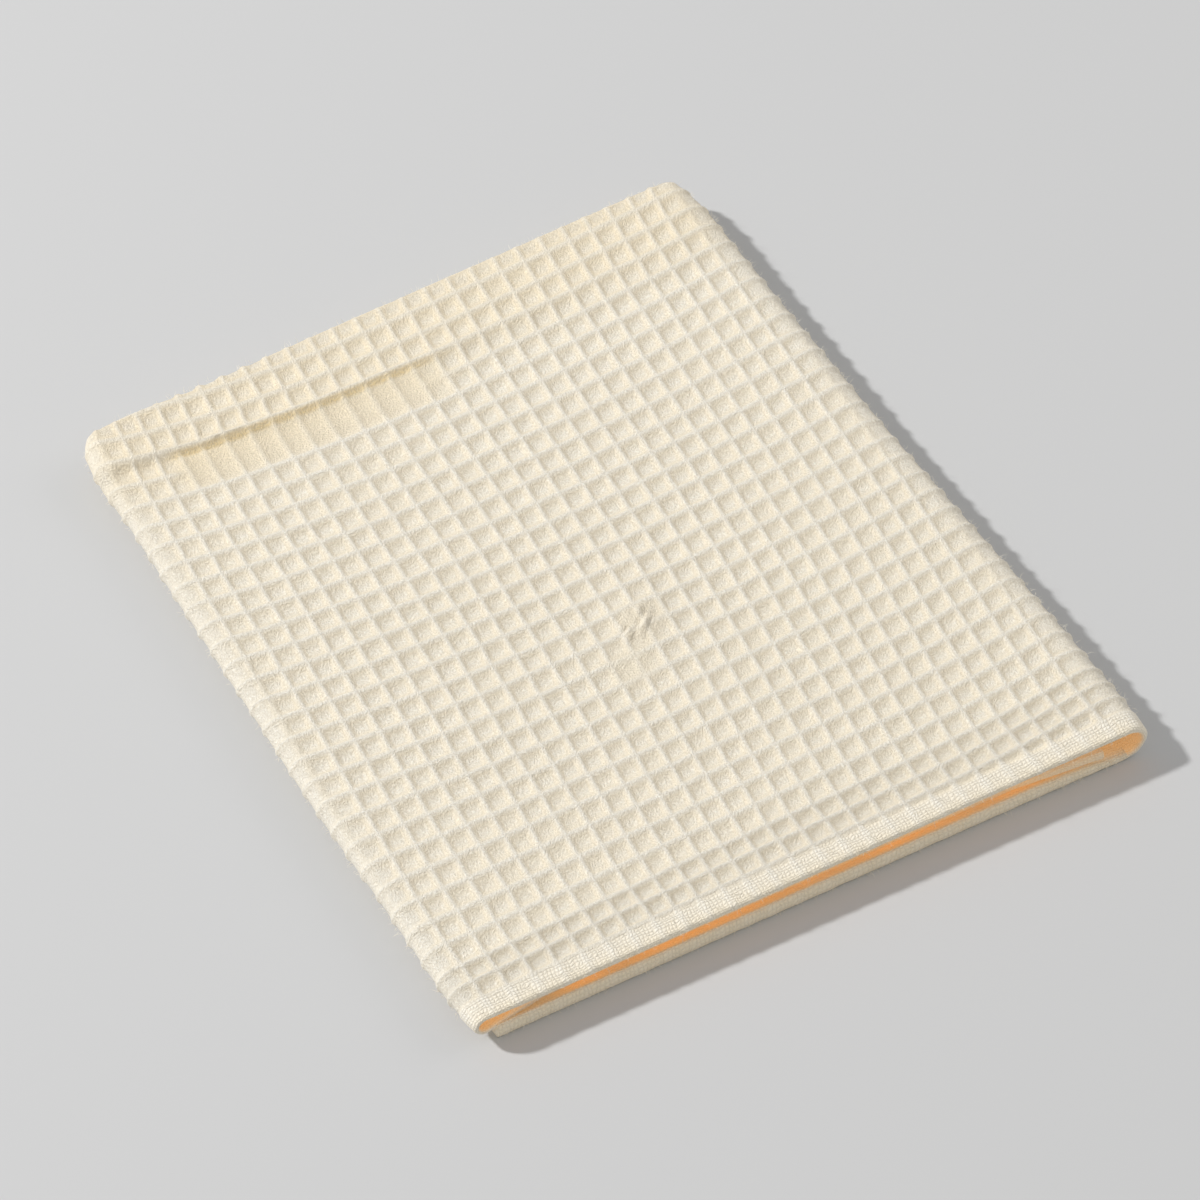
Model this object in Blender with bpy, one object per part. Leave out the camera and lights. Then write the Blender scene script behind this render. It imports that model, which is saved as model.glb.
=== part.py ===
"""Dish cloth of cotton waffle weave, folded in half and then in three, lying flat.

X runs along the open front edge, Y runs back to the far fold and Z is up. The origin is
under the middle of the bounding box, on the surface that the cloth lies on.

The cloth is one sheet. It is first folded in half along its far edge, so it is doubled:
an outer half, whose waffle face shows, and an inner half that stops short of the front.
The doubled cloth is then folded in three across its width. The bottom flap comes round
the right loop, and the middle flap comes round the smaller left loop and is tucked in.
"""
import math
from collections import namedtuple

import bmesh
import bpy

# The waffle cells that show on top, counted and measured, give the folded size
CELL_ACROSS = 0.00633
CELL_ALONG = 0.00649
COLUMNS = 27
ROWS = 31
WIDTH = COLUMNS * CELL_ACROSS
LENGTH = ROWS * CELL_ALONG
LEFT, RIGHT = -WIDTH / 2, WIDTH / 2
FRONT, FAR = -LENGTH / 2, LENGTH / 2

# Cloth thickness and the air between its layers
PLY = 0.00125
HALVES_GAP = 0.00035
FLAPS_GAP = 0.00035
AIR_UNDER_TOP = 0.00125
DOUBLED = 2 * PLY + HALVES_GAP

# The turned and sewn hem along the front, and how far the inner half stops behind it
HEM_THICK = 0.0020
HEM_WIDE = CELL_ALONG
HEM_TAPER = 0.0008
EDGE_ROUND = 0.0005
INNER_SHORT = 0.010

# The free ends of the two flaps, measured from the side that each one nearly reaches
BOTTOM_FLAP_SHORT = CELL_ACROSS
MIDDLE_FLAP_SHORT = 0.012

# Side loops: length of each loop's half ellipse for one unit of its half height
LEFT_LOOP_REACH = 1.15
RIGHT_LOOP_REACH = 1.25

# Unevenness of the layers
FOLD_SWELL = 0.0005
CREASE_Y = FAR - 0.0168
CREASE_SOFT_LEFT = 0.0025
CREASE_SOFT_RIGHT = 0.0180
RIGHT_RISE = 0.0010
DROOP_REACH = 0.0095
TOP_DROOP = 0.0013
MIDDLE_DROOP = 0.0008
CORNER_REACH = 0.014

# Soft rises and hollows of the top layer, each a smooth mound at a place
Swell = namedtuple("Swell", "x y height reach_x reach_y")
SWELLS = (
    Swell(-0.030, -0.040, -0.0005, 0.050, 0.060),
    Swell(0.035, 0.010, -0.0004, 0.045, 0.070),
    Swell(0.004, -0.016, 0.0006, 0.012, 0.016),
    Swell(0.012, -0.078, 0.0004, 0.030, 0.016),
    Swell(-0.045, 0.062, 0.0003, 0.030, 0.018),
)

# How far each side stands out of a straight line, from the front (0) to the far fold (1)
Side = namedtuple("Side", "along left right")
SIDES = (
    Side(0.00, -0.0006, 0.0004),
    Side(0.30, 0.0006, 0.0000),
    Side(0.65, 0.0012, -0.0012),
    Side(1.00, 0.0000, 0.0000),
)

# How much each corner is rounded off in plan
Corner = namedtuple("Corner", "left right")
FAR_CORNER = Corner(0.0050, 0.0030)
FRONT_CORNER = Corner(0.0018, 0.0010)

# The path of the doubled cloth, from the tucked free end to the free end underneath
Stretch = namedtuple("Stretch", "name steps front_back")
PATH = (
    Stretch("middle", 8, 0.0010),
    Stretch("left_loop", 8, 0.0006),
    Stretch("top", 13, 0.0000),
    Stretch("right_loop", 10, 0.0004),
    Stretch("bottom", 8, 0.0007),
)

# Spans of the sheet from the hem to the crease, on to the far fold and round it
BODY_SPANS = 8
CREASE_SPANS = 4
FOLD_SPANS = 6

COTTON_COLOUR = (0.93, 0.88, 0.77, 1.0)
COTTON_ROUGHNESS = 0.95


def remove_everything():
    """Start from an empty scene."""
    for thing in list(bpy.data.objects):
        bpy.data.objects.remove(thing, do_unlink=True)


def smooth(t):
    """0 below 0, 1 above 1 and a soft rise between."""
    t = min(max(t, 0.0), 1.0)
    return t * t * (3 - 2 * t)


def mix(a, b, t):
    return a + (b - a) * t


def across(x):
    """0 at the left side, 1 at the right side."""
    return (x - LEFT) / WIDTH


def far_swell(x, y):
    """1 on the puffed band at the far fold and 0 before its crease, sharpest at the left."""
    soft = mix(CREASE_SOFT_LEFT, CREASE_SOFT_RIGHT, across(x))
    return smooth((y - CREASE_Y + soft) / soft)


def front_droop(y):
    """1 at the front edge and 0 where the droop of the hem starts."""
    return smooth((FRONT + DROOP_REACH - y) / DROOP_REACH)


def doubled_height(x, y):
    """Height of the doubled cloth, which is fuller near its far fold."""
    return DOUBLED + FOLD_SWELL * far_swell(x, y)


def top_unevenness(x, y):
    """Rise of the top layer to the right, and its soft mounds and hollows."""
    rise = RIGHT_RISE * across(x) * (1 - far_swell(x, y))
    for swell in SWELLS:
        away = math.hypot((x - swell.x) / swell.reach_x, (y - swell.y) / swell.reach_y)
        rise += swell.height * smooth(1 - away)
    return rise


def level(layer, x, y):
    """Height of the middle of the doubled cloth in its bottom, middle or top layer."""
    height = doubled_height(x, y)
    if layer == "bottom":
        return height / 2
    if layer == "middle":
        return 1.5 * height + FLAPS_GAP - MIDDLE_DROOP * front_droop(y)
    flat = 2.5 * height + 2 * FLAPS_GAP + AIR_UNDER_TOP
    return flat + top_unevenness(x, y) - TOP_DROOP * front_droop(y)


def loop_shape(side, y):
    """Centre and half axes of a side loop: x, z, reach in x and half height."""
    edge, lower, reach = {"left": (LEFT, "middle", LEFT_LOOP_REACH),
                          "right": (RIGHT, "bottom", RIGHT_LOOP_REACH)}[side]
    top, low = level("top", edge, y), level(lower, edge, y)
    half = (top - low) / 2
    inward = reach * half + doubled_height(edge, y) / 2
    centre_x = edge + inward if side == "left" else edge - inward
    return centre_x, (top + low) / 2, reach * half, half


def path_point(name, t, y):
    """Point and outward normal, in X and Z, on one stretch of the doubled cloth's middle."""
    left_x, left_z, left_reach, left_half = loop_shape("left", y)
    right_x, right_z, right_reach, right_half = loop_shape("right", y)
    if name == "left_loop":
        angle = math.radians(mix(270, 90, t))
        c, s = math.cos(angle), math.sin(angle)
        point = (left_x + left_reach * c, left_z + left_half * s)
        normal = (left_half * c, left_reach * s)
    elif name == "right_loop":
        angle = math.radians(mix(90, -90, t))
        c, s = math.cos(angle), math.sin(angle)
        point = (right_x + right_reach * c, right_z + right_half * s)
        normal = (right_half * c, right_reach * s)
    else:
        start, end = {"middle": (RIGHT - MIDDLE_FLAP_SHORT, left_x),
                      "top": (left_x, right_x),
                      "bottom": (right_x, LEFT + BOTTOM_FLAP_SHORT)}[name]
        x = mix(start, end, t)
        point, normal = (x, level(name, x, y)), (0.0, 1.0 if name == "top" else -1.0)
    size = math.hypot(*normal)
    return point, (normal[0] / size, normal[1] / size)


def side_table(along, column):
    """Value of one column of the table of sides, eased between its rows."""
    for row, after in zip(SIDES, SIDES[1:]):
        if along <= after.along:
            break
    t = smooth((along - row.along) / (after.along - row.along))
    return mix(getattr(row, column), getattr(after, column), t)


def plan_shift(x, y):
    """How far a point moves in X for the uneven sides and the rounded corners."""
    f = across(x)
    along = min(max((y - FRONT) / LENGTH, 0.0), 1.0)
    shift = side_table(along, "right") * f - side_table(along, "left") * (1 - f)
    near_side = min(abs(2 * x / WIDTH), 1.0) ** 8
    far = max((y - FAR + CORNER_REACH) / CORNER_REACH, 0.0) ** 2
    front = max((FRONT + CORNER_REACH - y) / CORNER_REACH, 0.0) ** 2
    for inward, side_sign in (("left", -1), ("right", 1)):
        if x * side_sign > 0:
            round_off = getattr(FAR_CORNER, inward) * far + getattr(FRONT_CORNER, inward) * front
            shift -= side_sign * near_side * round_off
    return shift


def sheet_stations():
    """Section of the sheet: its face and its back, from the front hem to the inner end.

    Each is (y, share, thickness): the share of half the doubled height, and metres added.
    """
    half = (DOUBLED + FOLD_SWELL) / 2
    fold_y = FAR - half
    hem_end = FRONT + HEM_WIDE
    droop_end = FRONT + DROOP_REACH
    crease_start = CREASE_Y - CREASE_SOFT_LEFT
    stations = [((FRONT, 1.0, -EDGE_ROUND), (FRONT, 1.0, EDGE_ROUND - HEM_THICK))]
    rows = [(FRONT + EDGE_ROUND, HEM_THICK), ((FRONT + hem_end) / 2, HEM_THICK)]
    rows += [(hem_end, HEM_THICK), (hem_end + HEM_TAPER, PLY), (droop_end, PLY)]
    body = [mix(droop_end, crease_start, i / BODY_SPANS) for i in range(1, BODY_SPANS)]
    body += [mix(crease_start, fold_y, i / CREASE_SPANS) for i in range(CREASE_SPANS)]
    rows += [(y, PLY) for y in body]
    stations += [((y, 1.0, 0.0), (y, 1.0, -thick)) for y, thick in rows]
    for i in range(FOLD_SPANS + 1):
        angle = math.radians(mix(90, -90, i / FOLD_SPANS))
        c, s = math.cos(angle), math.sin(angle)
        stations.append(((fold_y + half * c, s, 0.0), (fold_y + (half - PLY) * c, s, -PLY * s)))
    stations += [((y, -1.0, 0.0), (y, -1.0, PLY)) for y in reversed(body)]
    stations.append(((FRONT + INNER_SHORT, -1.0, 0.0), (FRONT + INNER_SHORT, -1.0, PLY)))
    return stations


def cloth_point(name, t, place, front_back):
    """A point of the cloth from its place on the path and on the sheet's section."""
    y, share, thickness = place
    (x, z), (normal_x, normal_z) = path_point(name, t, y)
    offset = share * doubled_height(x, y) / 2 + thickness
    x += offset * normal_x
    z += offset * normal_z
    hem_shift = front_back * smooth((FRONT + 3 * HEM_WIDE - y) / (3 * HEM_WIDE))
    return x + plan_shift(x, y), y + hem_shift, z


def path_sections():
    """Stretch, place on it from 0 to 1 and front set-back, for each section of the path."""
    sections = []
    for k, stretch in enumerate(PATH):
        before = PATH[max(k - 1, 0)].front_back
        after = PATH[min(k + 1, len(PATH) - 1)].front_back
        last = k == len(PATH) - 1
        for i in range(stretch.steps + (1 if last else 0)):
            t = i / stretch.steps
            start, end = (before + stretch.front_back) / 2, (stretch.front_back + after) / 2
            sections.append((stretch.name, t, mix(start, end, t)))
    return sections


def add_sheet(mesh, side, sections, stations):
    """Rows of vertices of the cloth's face (0) or its back (1), one row a section."""
    return [[mesh.verts.new(cloth_point(name, t, station[side], front_back))
             for station in stations]
            for name, t, front_back in sections]


def build_cloth():
    """The whole folded cloth as one closed solid."""
    sections, stations = path_sections(), sheet_stations()
    mesh = bmesh.new()
    face = add_sheet(mesh, 0, sections, stations)
    back = add_sheet(mesh, 1, sections, stations)
    rows, columns = len(sections), len(stations)
    for i in range(rows - 1):
        for j in range(columns - 1):
            mesh.faces.new((face[i][j], face[i + 1][j], face[i + 1][j + 1], face[i][j + 1]))
            mesh.faces.new((back[i][j], back[i][j + 1], back[i + 1][j + 1], back[i + 1][j]))
    for i in range(rows - 1):
        for j in (0, columns - 1):
            mesh.faces.new((face[i][j], back[i][j], back[i + 1][j], face[i + 1][j]))
    for j in range(columns - 1):
        for i in (0, rows - 1):
            mesh.faces.new((face[i][j], face[i][j + 1], back[i][j + 1], back[i][j]))
    bmesh.ops.recalc_face_normals(mesh, faces=mesh.faces)
    centre_on_origin(mesh)
    data = bpy.data.meshes.new("cloth")
    mesh.to_mesh(data)
    mesh.free()
    data.shade_smooth()
    data.set_sharp_from_angle(angle=math.radians(50))
    return data


def centre_on_origin(mesh):
    """Stand the bounding box on the surface, centred over the origin."""
    low = [min(vert.co[axis] for vert in mesh.verts) for axis in range(3)]
    high = [max(vert.co[axis] for vert in mesh.verts) for axis in range(3)]
    shift = (-(low[0] + high[0]) / 2, -(low[1] + high[1]) / 2, -low[2])
    bmesh.ops.translate(mesh, vec=shift, verts=mesh.verts)
    print("moved to the origin by", [round(value, 6) for value in shift])
    print("size", [round(high[axis] - low[axis], 5) for axis in range(3)])


def cotton_material():
    """Matt undyed cotton."""
    material = bpy.data.materials.new("cotton")
    material.use_nodes = True
    surface = material.node_tree.nodes["Principled BSDF"]
    surface.inputs["Base Color"].default_value = COTTON_COLOUR
    surface.inputs["Roughness"].default_value = COTTON_ROUGHNESS
    surface.inputs["Metallic"].default_value = 0.0
    return material


remove_everything()
cloth = bpy.data.objects.new("cloth", build_cloth())
cloth.data.materials.append(cotton_material())
bpy.context.collection.objects.link(cloth)
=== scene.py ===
# %% [markdown]
# A folded dish cloth of cream cotton waffle weave, lying flat in sunlight.
# The real thing is one rectangle of cloth. It is folded in half, so it is doubled, and then
# folded in three, so that six layers lie on each other. Its cells are little square bowls
# between raised ridges, about 6.4 mm apart, and its front edge is a plain-woven hem.
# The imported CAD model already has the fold, so this script dresses it: the same fold is
# worked out again from the same sizes, with the relief of the weave on it.

import math

import bpy
import numpy as np
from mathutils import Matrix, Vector


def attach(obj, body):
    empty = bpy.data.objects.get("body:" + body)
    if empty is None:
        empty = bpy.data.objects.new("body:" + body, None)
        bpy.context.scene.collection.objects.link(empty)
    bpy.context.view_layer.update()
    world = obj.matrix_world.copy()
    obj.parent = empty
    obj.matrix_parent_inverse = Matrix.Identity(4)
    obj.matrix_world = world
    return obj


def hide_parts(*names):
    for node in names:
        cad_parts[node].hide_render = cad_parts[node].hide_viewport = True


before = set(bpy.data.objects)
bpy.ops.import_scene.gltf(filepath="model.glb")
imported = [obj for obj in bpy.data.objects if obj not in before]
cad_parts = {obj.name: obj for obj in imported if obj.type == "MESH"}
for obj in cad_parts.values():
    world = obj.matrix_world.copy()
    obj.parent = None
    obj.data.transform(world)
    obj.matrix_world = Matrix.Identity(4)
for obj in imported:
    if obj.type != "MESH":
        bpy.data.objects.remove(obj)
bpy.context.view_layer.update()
BODY = "root"

# %% [markdown]
# The sizes of the fold repeat those of the CAD model, in metres, so each layer lies where the
# model says. X runs along the front edge, Y runs back to the far fold and Z is up. The model
# was moved by a fraction of a millimetre to stand on the middle of its box, and so is this.

# %% Sizes of the folded cloth
MM = 0.001
CELL_ACROSS, CELL_ALONG = 6.33 * MM, 6.49 * MM
COLUMNS, ROWS = 27, 31
WIDTH, LENGTH = COLUMNS * CELL_ACROSS, ROWS * CELL_ALONG
LEFT, RIGHT, FRONT, FAR = -WIDTH / 2, WIDTH / 2, -LENGTH / 2, LENGTH / 2
PLY, HALVES_GAP, FLAPS_GAP, AIR_UNDER_TOP = 1.25 * MM, 0.35 * MM, 0.35 * MM, 1.25 * MM
DOUBLED = 2 * PLY + HALVES_GAP
HEM_WIDE, INNER_SHORT = CELL_ALONG, 10 * MM
BOTTOM_FLAP_SHORT, MIDDLE_FLAP_SHORT = CELL_ACROSS, 12 * MM
LEFT_LOOP_REACH, RIGHT_LOOP_REACH = 1.15, 1.25
FOLD_SWELL = 0.5 * MM
CREASE_SOFT_LEFT, CREASE_SOFT_RIGHT = 2.0 * MM, 18 * MM
RIGHT_RISE, DROOP_REACH, TOP_DROOP = 1.0 * MM, 9.5 * MM, 0.7 * MM
MODEL_SHIFT = np.array([0.000443, -0.0001, 0.0])

# Soft rises and hollows of the top layer: x, y, height, reach in x and reach in y, in mm
SWELLS = np.array([
    (-30, -40, -0.5, 50, 60),
    (35, 10, -0.4, 45, 70),
    (4, -16, 0.6, 12, 16),
    (12, -78, 0.4, 30, 16),
    (-45, 62, 0.3, 30, 18),
]) * MM

# How far the sides stand out, from the front (0) to the far fold (1): along, left and right in mm
SIDES = np.array([(0.00, 0.0, 1.7), (0.18, 0.0, 1.6), (0.35, 0.6, 1.0), (0.55, 0.2, 0.4),
                  (0.70, 0.0, 0.9), (0.85, -0.5, 1.3), (1.00, 0.5, 1.8)])

# How much each corner is rounded off, over what length, and how closely it keeps to the side
FAR_CORNER = {"left": 3.2 * MM, "right": 2.4 * MM}
FRONT_CORNER = {"left": 1.8 * MM, "right": 1.0 * MM}
CORNER_REACH, CORNER_POWER = 14 * MM, 8

# The fold is a little askew: how far the front and the far fold stand back, this far to the right
SKEW_AT = 80 * MM
SKEW_FRONT, SKEW_FAR = -1.2 * MM, 4.0 * MM

# How far the middle of the far fold is drawn in, against places this far to each side
FAR_BOW, BOW_AT = 0.5 * MM, 85 * MM
print(f"folded size {WIDTH * 1000:.0f} by {LENGTH * 1000:.0f} mm")

# %% [markdown]
# A few small helpers come first. A smooth step is the building block of every soft edge in
# cloth. The noise is a grid of fixed random numbers, blended between its points, so the same
# unevenness comes out each time the script runs. Blender's own noise texture could serve too,
# but plain numbers can be used on the points of a mesh before it is made.

# %% Helpers
def smooth(t):
    """0 below 0, 1 above 1 and a soft rise between."""
    t = np.clip(t, 0.0, 1.0)
    return t * t * (3 - 2 * t)


def mix(a, b, t):
    """a where t is 0, b where t is 1 and a blend between."""
    return a + (b - a) * t


NOISE_SIZE = 64


def noise(x, y, seed):
    """Soft random heights from -1 to 1, about one bump for each unit of x and y."""
    grid = np.random.default_rng(seed).uniform(-1, 1, (NOISE_SIZE, NOISE_SIZE))
    xi, yi = np.floor(x).astype(int), np.floor(y).astype(int)
    tx, ty = smooth(x - xi), smooth(y - yi)
    x0, x1, y0, y1 = (k % NOISE_SIZE for k in (xi, xi + 1, yi, yi + 1))
    return mix(mix(grid[x0, y0], grid[x1, y0], tx), mix(grid[x0, y1], grid[x1, y1], tx), ty)


# %% [markdown]
# The heights of the three doubled layers follow from the cloth's thickness. The stack is
# fuller at the far fold, because folded cloth springs open there, and that puffed band ends
# in a crease that is sharp at the left and fades out to the right. The front edge droops.

# %% Heights of the layers
CREASE_Y = 80.2 * MM
# how far each end of the crease turns back, from which X and over what length
CREASE_LEFT_TURN, CREASE_LEFT_FROM, CREASE_LEFT_REACH = 6.6 * MM, -35 * MM, 50 * MM
CREASE_RIGHT_TURN, CREASE_RIGHT_FROM, CREASE_RIGHT_REACH = 1.2 * MM, 50 * MM, 40 * MM


def across(x):
    """0 at the left side and 1 at the right side."""
    return (x - LEFT) / WIDTH


def crease_y(x):
    """Where the crease before the far fold lies. Its ends turn back."""
    left_turn = CREASE_LEFT_TURN * smooth((CREASE_LEFT_FROM - x) / CREASE_LEFT_REACH)
    right_turn = CREASE_RIGHT_TURN * smooth((x - CREASE_RIGHT_FROM) / CREASE_RIGHT_REACH)
    return CREASE_Y + left_turn + right_turn


def far_swell(x, y):
    """1 on the puffed band at the far fold and 0 before its crease."""
    soft = mix(CREASE_SOFT_LEFT, CREASE_SOFT_RIGHT, np.clip(across(x), 0, 1) ** 2)
    return smooth((y - crease_y(x) + soft) / soft)


def front_droop(y):
    """1 at the front edge, which hangs down a little, and 0 behind it."""
    return smooth((FRONT + DROOP_REACH - y) / DROOP_REACH)


def doubled_height(x, y):
    """Thickness of the doubled cloth, which is fuller at the far fold."""
    return DOUBLED + FOLD_SWELL * far_swell(x, y)


def top_unevenness(x, y):
    """How far the top layer lies above its flat height."""
    rise = RIGHT_RISE * across(x) * (1 - far_swell(x, y))
    for cx, cy, height, reach_x, reach_y in SWELLS:
        rise = rise + height * smooth(1 - np.hypot((x - cx) / reach_x, (y - cy) / reach_y))
    return rise


def level(layer, x, y):
    """Height of the middle of the doubled cloth in its bottom, middle or top layer."""
    height = doubled_height(x, y)
    if layer == "bottom":
        return height / 2
    if layer == "middle":
        return 1.5 * height + FLAPS_GAP
    flat = 2.5 * height + 2 * FLAPS_GAP + AIR_UNDER_TOP
    return flat + top_unevenness(x, y) - TOP_DROOP * front_droop(y)


def loop_shape(side, y):
    """Centre x and z, reach in x and half height of a side loop."""
    edge, lower, reach = {"left": (LEFT, "middle", LEFT_LOOP_REACH),
                          "right": (RIGHT, "bottom", RIGHT_LOOP_REACH)}[side]
    edge = np.full_like(y, edge)
    top, low = level("top", edge, y), level(lower, edge, y)
    half = (top - low) / 2
    inward = reach * half + doubled_height(edge, y) / 2
    centre_x = edge + inward if side == "left" else edge - inward
    return centre_x, (top + low) / 2, reach * half, half


# %% [markdown]
# A place across the cloth is one number, its distance from the middle of the top along the
# cloth itself. Past the top it runs round a side loop and on under the stack. The lengths of
# the loops are taken at one place, halfway along, so that every ridge stays one line.

# %% The path across the fold
def half_loop_length(side):
    """Length of the cloth's face round a side loop, halfway along the cloth."""
    _, _, reach, half = (float(value) for value in np.ravel(loop_shape(side, np.zeros(1))))
    a, b = reach + DOUBLED / 2, half + DOUBLED / 2
    return math.pi / 2 * (3 * (a + b) - math.sqrt((3 * a + b) * (a + 3 * b)))


TOP_START = float(loop_shape("left", np.zeros(1))[0][0])
TOP_END = float(loop_shape("right", np.zeros(1))[0][0])
LEFT_LOOP, RIGHT_LOOP = half_loop_length("left"), half_loop_length("right")
BOTTOM_START = TOP_END + RIGHT_LOOP
BOTTOM_END = BOTTOM_START + TOP_END - (LEFT + BOTTOM_FLAP_SHORT)
MIDDLE_START = TOP_START - LEFT_LOOP
MIDDLE_END = MIDDLE_START - (RIGHT - MIDDLE_FLAP_SHORT - TOP_START)
print(f"top {1000 * (TOP_END - TOP_START):.1f} mm, left loop {1000 * LEFT_LOOP:.1f} mm, "
      f"right loop {1000 * RIGHT_LOOP:.1f} mm, whole cloth {1000 * (BOTTOM_END - MIDDLE_END):.0f} mm")


def path_point(a, y):
    """Point and outward normal, in X and Z, of the doubled cloth's middle."""
    left_x, left_z, left_reach, left_half = loop_shape("left", y)
    right_x, right_z, right_reach, right_half = loop_shape("right", y)
    left_angle = math.pi / 2 + math.pi * np.clip((TOP_START - a) / LEFT_LOOP, 0, 1)
    right_angle = math.pi / 2 - math.pi * np.clip((a - TOP_END) / RIGHT_LOOP, 0, 1)
    top_x = mix(left_x, right_x, (a - TOP_START) / (TOP_END - TOP_START))
    bottom_x = mix(right_x, LEFT + BOTTOM_FLAP_SHORT, (a - BOTTOM_START) / (BOTTOM_END - BOTTOM_START))
    middle_x = mix(left_x, RIGHT - MIDDLE_FLAP_SHORT, (a - MIDDLE_START) / (MIDDLE_END - MIDDLE_START))
    places = [a < MIDDLE_START, a < TOP_START, a <= TOP_END, a <= BOTTOM_START]
    zero, one = np.zeros_like(a), np.ones_like(a)
    x = np.select(places, [middle_x, left_x + left_reach * np.cos(left_angle), top_x,
                           right_x + right_reach * np.cos(right_angle)], bottom_x)
    z = np.select(places, [level("middle", middle_x, y), left_z + left_half * np.sin(left_angle),
                           level("top", top_x, y), right_z + right_half * np.sin(right_angle)],
                  level("bottom", bottom_x, y))
    nx = np.select(places, [zero, left_half * np.cos(left_angle), zero,
                            right_half * np.cos(right_angle)], zero)
    nz = np.select(places, [-one, left_reach * np.sin(left_angle), one,
                            right_reach * np.sin(right_angle)], -one)
    size = np.hypot(nx, nz)
    return x, z, nx / size, nz / size


# %% [markdown]
# A place along the cloth is one number too. It starts on the back of the hem, runs round the
# hem's soft lip, back over the face to the far fold, round it, and forward again on the inner
# half, which stops a centimetre short of the front so that only the hems show there.

# %% The section along the cloth
# The hem's lip: its length round the edge, and how far it stands out in front
LIP_LENGTH, LIP = 3.2 * MM, 0.9 * MM
HALF_FOLD = (DOUBLED + FOLD_SWELL) / 2
FOLD_Y = FAR - HALF_FOLD
FACE_LENGTH = FOLD_Y - FRONT - LIP
FOLD_LENGTH = math.pi * HALF_FOLD
INNER_LENGTH = FOLD_Y - FRONT - INNER_SHORT
ALONG_START = -LIP_LENGTH - (HEM_WIDE - LIP)
ALONG_END = FACE_LENGTH + FOLD_LENGTH + INNER_LENGTH

# The lowest hem stands up in front of the middle one, which is drawn back and leaves a hollow.
# Place across the cloth, how thick the hem is there, and how far it is set back
HEM_AT, HEM_THICK, SET_BACK = np.array([
    (MIDDLE_END, 2.7 * MM, 0.8 * MM),
    (MIDDLE_END + 24 * MM, 2.4 * MM, 3.0 * MM),
    (MIDDLE_START - 16 * MM, 2.4 * MM, 3.2 * MM),
    (MIDDLE_START, 1.5 * MM, 0.7 * MM),
    (TOP_START, 1.4 * MM, 0.3 * MM),
    (TOP_START + 18 * MM, 2.0 * MM, 0.3 * MM),
    (TOP_END, 1.8 * MM, 0.2 * MM),
    (BOTTOM_START, 1.9 * MM, 0.4 * MM),
    (BOTTOM_START + 26 * MM, 4.2 * MM, 0.4 * MM),
    (BOTTOM_END, 4.5 * MM, 0.4 * MM),
]).T
# Behind its lip a thick hem gets thinner again, and the set-back dies out over three cells
HEM_FLAT, HEM_FLAT_REACH = 2.5 * MM, 2 * MM
SET_BACK_REACH = 3 * HEM_WIDE
print(f"along the cloth: {1000 * (ALONG_END + HEM_WIDE):.0f} mm with the hem turned under")


def section_point(a, b, height):
    """y, share of half the doubled height, and added offset, with height off the face."""
    thick = np.interp(a, HEM_AT, HEM_THICK)
    thick = mix(thick, np.minimum(thick, HEM_FLAT), smooth((-b - LIP_LENGTH) / HEM_FLAT_REACH))
    lip = math.pi * np.clip(-b / LIP_LENGTH, 0, 1)
    fold = math.pi * np.clip((b - FACE_LENGTH) / FOLD_LENGTH, 0, 1)
    places = [b < -LIP_LENGTH, b < 0, b <= FACE_LENGTH, b <= FACE_LENGTH + FOLD_LENGTH]
    one = np.ones_like(b)
    y = np.select(places, [
        FRONT + LIP - LIP_LENGTH - b, FRONT + LIP - (LIP + height) * np.sin(lip), FRONT + LIP + b,
        FOLD_Y + (HALF_FOLD + height) * np.sin(fold)], FOLD_Y + FACE_LENGTH + FOLD_LENGTH - b)
    share = np.select(places, [one, one, one, np.cos(fold)], -one)
    lip_height = -thick / 2 + (thick / 2 + height) * np.cos(lip)
    added = np.select(places, [-thick - height, lip_height, height, height * np.cos(fold)], -height)
    return y, share, added


# %% [markdown]
# Now a point of the cloth can be placed: across, along and off the face. The uneven sides and
# the rounded corners are small moves in X, and the lower hems lie a little further back.

# %% Place a point of the cloth
def plan_shift(x, y):
    """How far a point moves in X for the uneven sides and the rounded corners."""
    f = across(x)
    along = np.clip((y - FRONT) / LENGTH, 0, 1)
    row = np.clip(np.searchsorted(SIDES[:, 0], along, side="left") - 1, 0, len(SIDES) - 2)
    t = smooth((along - SIDES[row, 0]) / (SIDES[row + 1, 0] - SIDES[row, 0]))
    left = mix(SIDES[row, 1], SIDES[row + 1, 1], t) * MM
    right = mix(SIDES[row, 2], SIDES[row + 1, 2], t) * MM
    near_side = np.clip(np.abs(2 * x / WIDTH), 0, 1) ** CORNER_POWER
    far = np.maximum((y - FAR + CORNER_REACH) / CORNER_REACH, 0) ** 2
    front = np.maximum((FRONT + CORNER_REACH - y) / CORNER_REACH, 0) ** 2
    round_left = near_side * (FAR_CORNER["left"] * far + FRONT_CORNER["left"] * front)
    round_right = near_side * (FAR_CORNER["right"] * far + FRONT_CORNER["right"] * front)
    return right * f - left * (1 - f) + np.where(x < 0, round_left, -round_right)


def bow(x, y):
    """How far a point is drawn in, most at the middle of the far fold."""
    return FAR_BOW * (1 - (x / BOW_AT) ** 2) * np.clip((y - FRONT) / LENGTH, 0, 1) ** 2


def skew(x, y):
    """How far a point moves in Y because the fold is askew and bowed."""
    return x / SKEW_AT * mix(SKEW_FRONT, SKEW_FAR, (y - FRONT) / LENGTH) - bow(x, y)


def unskew(x, y):
    """The place before the fold went askew, for a place in the finished plan."""
    side = x / SKEW_AT
    y = y + bow(x, y)
    return (y - side * (SKEW_FRONT - (SKEW_FAR - SKEW_FRONT) * FRONT / LENGTH)) / (
        1 + side * (SKEW_FAR - SKEW_FRONT) / LENGTH)


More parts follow.
